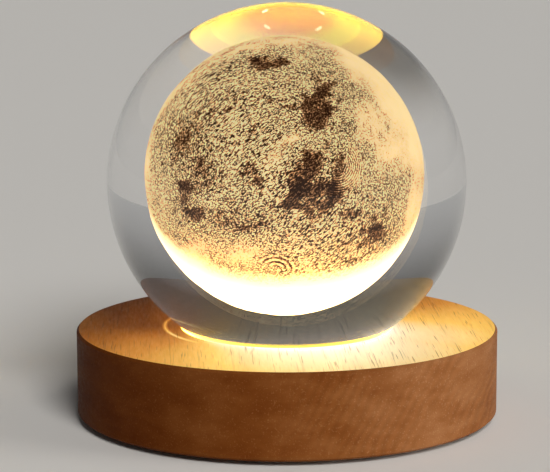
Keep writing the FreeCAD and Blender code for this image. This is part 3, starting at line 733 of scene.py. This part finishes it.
ring_across, _, ring_height = beech.split(beech.ripple(beech.place(), 110, 1.8 * MM))
ring_sides = [
    beech.maths("SUBTRACT", side, middle)
    for side, middle in ((ring_across, RINGS_ACROSS), (ring_height, RINGS_HEIGHT))
]
ring_squares = [beech.maths("MULTIPLY", side, side) for side in ring_sides]
ring_radius = beech.maths("SQRT", beech.maths("ADD", *ring_squares))
ring_wave = beech.maths("SINE", beech.maths("MULTIPLY", ring_radius, 2 * math.pi / RING_STEP))
ring_share = beech.grey(beech.cloud(beech.place(), 55, 1.0), 0.42, 0.66)
ring_fade = beech.grey(ring_across, FAINT_TO, FAINT_FROM, FAINT_SHARE)
ring_share = beech.maths("MULTIPLY", ring_share, ring_fade)
ring_wave = beech.maths("MULTIPLY", ring_wave, ring_share)
side_wood = beech.times(side_wood, beech.grey(ring_wave, -1.0, 1.0, RING_DARK, RING_LIGHT))
# Painted shade darkens and reddens the side's left end, and painted light makes its right end pale.
painted_side_light = beech.ramp(beech.grey(ring_across, -SIDE_ENDS, SIDE_ENDS), SIDE_PAINTED_LIGHT)
side_wood = beech.blend(1.0, side_wood, painted_side_light, "MULTIPLY")
print("growth rings every", round(RING_STEP / MM, 1), "mm on the side")

# %% Top and side together
TOP_GLOSS, SIDE_GLOSS = 0.12, 0.02
GRAIN_RELIEF = 0.015 * MM

beech.wear("Base Color", beech.blend(faces_up, side_wood, top_wood))
beech.wear("Roughness", beech.grey(fibres, 0.3, 0.7, 0.42, 0.6))
beech.wear("Specular IOR Level", beech.grey(faces_up, 0.0, 1.0, SIDE_GLOSS, TOP_GLOSS))
beech.bump(beech.maths("SUBTRACT", fibres, flecked), GRAIN_RELIEF)
print("beech by daylight is made of", len(beech.tree.nodes), "nodes")

# %% [markdown]
# ## The lamps' light on the wood
#
# The ball gathers the lamps' light and throws it on the wood round it. Tracing that light through
# the glass takes far too many samples, so it is painted as light that the wood gives off. One
# number from 0 to 1 says how bright a place is: it falls with the distance from the ball, and is
# highest in front and next at the right behind. A ramp turns it into colour afterwards.

# %% How bright the wood is round the ball and outwards
SEAT_RADIUS = 23.5 * MM
NEAR_LIGHT, NEAR_REACH, NEAR_FACING = 0.40, 2.2 * MM, (-80, -0.4)
WIDE_LIGHT, WIDE_REACH, WIDE_FACING = 0.90, 80.0 * MM, (-66, -0.36)
BACK_LIGHT, BACK_FACING = 0.25, (38, 0.35)


def falling(finish, distance, strength, reach):
    """A light that fades away with distance."""
    fade = finish.maths("EXPONENT", finish.maths("MULTIPLY", distance, -1 / reach))
    return finish.maths("MULTIPLY", fade, strength)


def facing(finish, angle, degrees, darkest_at):
    """1 at an angle round the lamp, down to 0 where the cosine from it is darkest_at."""
    swing = finish.maths("COSINE", finish.maths("SUBTRACT", angle, math.radians(degrees)))
    return finish.grey(swing, darkest_at, 1.0)


radius, angle, _ = beech.around()
beyond = beech.maths("MAXIMUM", beech.maths("SUBTRACT", radius, SEAT_RADIUS), 0.0)
near = falling(beech, beyond, NEAR_LIGHT, NEAR_REACH)
near = beech.maths("MULTIPLY", near, facing(beech, angle, *NEAR_FACING))
wide = falling(beech, beyond, WIDE_LIGHT, WIDE_REACH)
wide = beech.maths("MULTIPLY", wide, facing(beech, angle, *WIDE_FACING))
behind = beech.maths("MULTIPLY", facing(beech, angle, *BACK_FACING), BACK_LIGHT)
on_top = beech.maths("ADD", beech.maths("ADD", near, wide), behind)
print("the wood is brightest at", WIDE_FACING[0], "degrees round the ball")

# %% The loop of light that the ball throws on the wood at the left
LOOP_MIDDLE = (-1.6 * MM, 0.6 * MM, 0)
LOOP_RADIUS, LOOP_WIDTH = 25.9 * MM, 0.8 * MM
LOOP_AT_DEGREES, LOOP_ENDS, LOOP_FULL = -172, 0.80, 0.97
LOOP_GLOW = 0.48

flat_place = beech.add("Mapping", {"Vector": beech.add("TexCoord", output=3), "Scale": (1, 1, 0)})
loop_away = beech.add("VectorMath", {0: flat_place, 1: LOOP_MIDDLE}, operation="DISTANCE", output=1)
loop_off = beech.maths("ABSOLUTE", beech.maths("SUBTRACT", loop_away, LOOP_RADIUS))
loop_turn = beech.maths("SUBTRACT", angle, math.radians(LOOP_AT_DEGREES))
loop_side = beech.grey(beech.maths("COSINE", loop_turn), LOOP_ENDS, LOOP_FULL)
loop = beech.maths("MULTIPLY", beech.grey(loop_off, 0.0, LOOP_WIDTH, LOOP_GLOW, 0.0), loop_side)
on_top = beech.maths("MULTIPLY", beech.maths("ADD", on_top, loop), faces_up)
print("the loop is", round(2 * LOOP_WIDTH / MM, 1), "mm wide")

# %% Warm light turns from deep orange to white as it gets stronger; flecks stay dark in it
LAMP_LIT = [
    (0.00, (0.00, 0.00, 0.00)),
    (0.15, (0.15, 0.050, 0.004)),
    (0.35, (0.38, 0.165, 0.026)),
    (0.58, (0.74, 0.48, 0.10)),
    (0.78, (0.82, 0.80, 0.52)),
    (1.00, (1.10, 1.10, 0.95)),
]
BAND_DIM, BAND_BRIGHT, FLECK_DIM = 0.90, 1.10, 0.48
HOLE_GLOW, HOLE_LIGHT = 8.0, (1.0, 0.66, 0.10)
HOLE_FROM, HOLE_TO = SEAT_RADIUS + 0.5 * MM, SEAT_RADIUS + 0.1 * MM

banded = beech.grey(bands, 0.30, 0.70, BAND_DIM, BAND_BRIGHT)
unflecked = beech.maths("SUBTRACT", 1.0, beech.maths("MULTIPLY", flecked, FLECK_DIM))
texture = beech.maths("MULTIPLY", banded, unflecked)
lit_wood = beech.times(beech.ramp(on_top, LAMP_LIT), texture)
in_hole = beech.grey(radius, HOLE_TO, HOLE_FROM, 1.0, 0.0)
lit_hole = beech.times(HOLE_LIGHT, beech.maths("MULTIPLY", in_hole, HOLE_GLOW))
beech.glow(beech.add("VectorMath", {0: lit_wood, 1: lit_hole}, operation="ADD"))
beech.on(solids["wood_base"])

# %% [markdown]
# ## A finish for moulded and plated pieces
#
# No moulded or plated surface has one flat colour. Its tone and its gloss wander a little, and
# fine relief lies over it. The pieces in and under the disc all need this, only in other colours
# and sizes, so one helper makes it from three layers of soft noise.

# %% Mottled finish
GLOSS_FINER, RELIEF_FINER = 2.7, 5


def mottled(name, dark, light, waves, gloss, depth, **sockets):
    """A finish whose colour and gloss wander a little, with fine relief over them."""
    finish = Finish(name, **sockets)
    stains = finish.cloud(finish.place(), waves, 4.0, 0.65)
    finish.wear("Base Color", finish.ramp(stains, [(0.36, dark), (0.64, light)]))
    smears = finish.cloud(finish.place(), GLOSS_FINER * waves)
    finish.wear("Roughness", finish.grey(smears, 0.35, 0.65, *gloss))
    finish.bump(finish.cloud(finish.place(), RELIEF_FINER * waves, 3.0, 0.7), depth)
    return finish


# %% [markdown]
# ## The lit well
#
# Under the ball is a white cup with lamps at its bottom, behind a clear disc. Seen from in front,
# the top of the ball shows this well and the wood round it, upside down. The lamps' light on the
# cup's wall is painted as a glow, orange low down and yellow towards its rim, and each lamp's
# reflection in the wall is painted as a small bright spot.

# %% The cup's glow, painted lamp light
CUP_GLOW = 7.5
CUP_LIGHT, RIM_LIGHT = (1.0, 0.34, 0.03, 1), (1.0, 0.80, 0.05, 1)
RIM_LIGHT_FROM, RIM_LIGHT_TO = 3.4 * MM, 1.6 * MM
DIM_FROM, DIM_TO, DIM_SHARE = 4.5 * MM, 3.0 * MM, 0.9
WALL_FROM, WALL_TO = 0.25 * MM, 0.3 * MM

cup_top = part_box("light_cup")[1].z
white_plastic = mottled(
    "white_plastic", (0.76, 0.73, 0.67), (0.84, 0.82, 0.78), 400, (0.38, 0.52), 0.012 * MM
)
radius, angle, height = white_plastic.around()
inside = white_plastic.grey(radius, SEAT_RADIUS - WALL_TO, SEAT_RADIUS - WALL_FROM, 1.0, 0.0)
low_down = white_plastic.grey(height, cup_top - DIM_FROM, cup_top - DIM_TO, 1.0, DIM_SHARE)
lit = white_plastic.maths("MULTIPLY", low_down, CUP_GLOW)
lit = white_plastic.maths("MULTIPLY", lit, inside)
towards_rim = white_plastic.grey(height, cup_top - RIM_LIGHT_FROM, cup_top - RIM_LIGHT_TO)
well_light = white_plastic.times(white_plastic.blend(towards_rim, CUP_LIGHT, RIM_LIGHT), lit)
print("the cup's rim is", round(cup_top / MM, 1), "mm up")

# %% A painted reflection of each lamp as a bright spot, at heights that waver round the wall
GLINTS, GLINT_AT_DEGREES, GLINT_EDGE = 8, -73.0, 0.92
GLINT_GLOW, GLINT_LIGHT = 30.0, (1.0, 0.82, 0.5)
GLINT_DOWN, GLINT_TALL = 3.4 * MM, 0.18 * MM
GLINT_WAVER, GLINT_WAVERS, GLINT_WAVER_DEGREES = 0.5 * MM, 2.0, 191

# Painted reflections of the lamps in the cup's wall, as small bright spots.
turns = white_plastic.maths("SUBTRACT", angle, math.radians(GLINT_AT_DEGREES))
round_wall = white_plastic.maths("COSINE", white_plastic.maths("MULTIPLY", turns, GLINTS))
round_wall = white_plastic.grey(round_wall, GLINT_EDGE, 1.0)
waver = white_plastic.maths("MULTIPLY", angle, GLINT_WAVERS)
waver = white_plastic.maths("ADD", waver, math.radians(GLINT_WAVER_DEGREES))
waver = white_plastic.maths("MULTIPLY", white_plastic.maths("SINE", waver), GLINT_WAVER)
glint_off = white_plastic.maths("SUBTRACT", height, cup_top - GLINT_DOWN)
glint_off = white_plastic.maths("ABSOLUTE", white_plastic.maths("ADD", glint_off, waver))
glint = white_plastic.grey(glint_off, 0.0, GLINT_TALL, GLINT_GLOW, 0.0)
glint = white_plastic.maths("MULTIPLY", white_plastic.maths("MULTIPLY", round_wall, glint), inside)
sockets = {0: well_light, 1: white_plastic.times(GLINT_LIGHT, glint)}
white_plastic.glow(white_plastic.add("VectorMath", sockets, operation="ADD"))
white_plastic.on(solids["light_cup"])

# %% Clear disc and lamps
LAMP_GLOW, LAMP_LIGHT = 60.0, (1.0, 0.66, 0.3)
PHOSPHOR_WAVES, PHOSPHOR_DIM, PHOSPHOR_BRIGHT = 5000, 0.8, 1.2

clear_plastic = mottled(
    "clear_plastic", (0.93, 0.93, 0.90), (0.98, 0.98, 0.97), 300, (0.04, 0.16), 0.004 * MM,
    IOR=1.49, Transmission_Weight=1.0,
)
clear_plastic.on(solids["lens_cover"])

lamp_window = mottled(
    "lamp_window", (0.85, 0.52, 0.10), (0.95, 0.72, 0.25), 2500, (0.25, 0.4), 0.01 * MM
)
phosphor = lamp_window.cloud(lamp_window.place(), PHOSPHOR_WAVES)
phosphor = lamp_window.grey(phosphor, 0.35, 0.65, PHOSPHOR_DIM, PHOSPHOR_BRIGHT)
phosphor = lamp_window.maths("MULTIPLY", phosphor, LAMP_GLOW)
lamp_window.glow(lamp_window.times(LAMP_LIGHT, phosphor))
lamp_window.on(solids["led_windows"])

lamp_case = mottled(
    "lamp_case", (0.78, 0.75, 0.68), (0.88, 0.86, 0.81), 1500, (0.28, 0.42), 0.006 * MM
)
lamp_case.on(solids["led_packages"])

# %% [markdown]
# ## The circuit board
#
# A circuit board's copper tracks lie under its white mask and show through it as raised paths.
# Here they are wide rings, and the narrow gaps between them are darker and lie deeper, which
# takes the place of the mottled finish's own relief. The lamps light the board too, and that is
# painted as a glow in the same way as on the wood.

# %% Board with its tracks
TRACK_STEP = 2.4 * MM
GAP_FROM, GAP_FULL, GAP_DEPTH = 0.80, 0.92, 0.03 * MM
GAP_COLOUR = (0.52, 0.52, 0.42, 1)
BOARD_GLOW, GAP_GLOW = 2.0, 1.5

board_white = mottled(
    "board_white", (0.70, 0.72, 0.66), (0.80, 0.81, 0.77), 500, (0.28, 0.4), 0.004 * MM
)
radius, _, _ = board_white.around()
gap = board_white.maths("SINE", board_white.maths("MULTIPLY", radius, 2 * math.pi / TRACK_STEP))
gap = board_white.grey(gap, GAP_FROM, GAP_FULL)
board_white.wear("Base Color", board_white.blend(gap, board_white.worn("Base Color"), GAP_COLOUR))
lit_board = board_white.grey(gap, 0, 1, BOARD_GLOW, GAP_GLOW)
board_white.glow(board_white.times(HOLE_LIGHT, lit_board))
board_white.bump(gap, -GAP_DEPTH)
board_white.on(solids["led_board"])

# %% [markdown]
# ## Plastic, rubber and metal underneath
#
# Moulded plastic is never quite smooth: the mould leaves a fine grain that scatters the light.
# Rubber is rougher and duller still, and picks up dust. Screws and contacts are plated, so they
# are bright, with soft clouds where the plating is thin and with fine tool marks.

# %% Finishes underneath
black_plastic = mottled(
    "black_plastic", (0.016, 0.016, 0.018), (0.030, 0.030, 0.032), 700, (0.42, 0.62), 0.03 * MM
)
rubber = mottled(
    "foot_rubber", (0.022, 0.022, 0.022), (0.052, 0.050, 0.047), 900, (0.75, 0.95), 0.04 * MM
)
steel = mottled(
    "zinc_steel", (0.48, 0.48, 0.47), (0.68, 0.66, 0.61), 1200, (0.24, 0.42), 0.008 * MM,
    Metallic=1.0,
)
nickel = mottled(
    "nickel", (0.62, 0.59, 0.53), (0.76, 0.74, 0.69), 900, (0.16, 0.30), 0.004 * MM,
    Metallic=1.0,
)
solder = mottled(
    "solder", (0.48, 0.48, 0.49), (0.68, 0.68, 0.67), 1600, (0.25, 0.5), 0.02 * MM,
    Metallic=1.0,
)
chip = mottled(
    "chip", (0.020, 0.020, 0.022), (0.045, 0.045, 0.050), 2500, (0.2, 0.38), 0.008 * MM
)
red_lead = mottled(
    "red_lead", (0.38, 0.014, 0.010), (0.50, 0.030, 0.022), 900, (0.34, 0.5), 0.01 * MM
)
black_lead = mottled(
    "black_lead", (0.014, 0.014, 0.014), (0.030, 0.030, 0.030), 900, (0.36, 0.54), 0.01 * MM
)
WORN_BY = {
    black_plastic: ("bottom_cover", "jack_body"),
    rubber: ("rubber_feet",),
    steel: ("cover_screws", "cup_screws", "board_screws"),
    nickel: ("jack_nut", "jack_pin", "jack_spring", "jack_lugs"),
    solder: ("solder_joints",),
    chip: ("chip_resistors",),
    red_lead: ("red_wire",),
    black_lead: ("black_wire", "heat_shrink_sleeves"),
}
for finish, nodes in WORN_BY.items():
    for node in nodes:
        finish.on(solids[node])
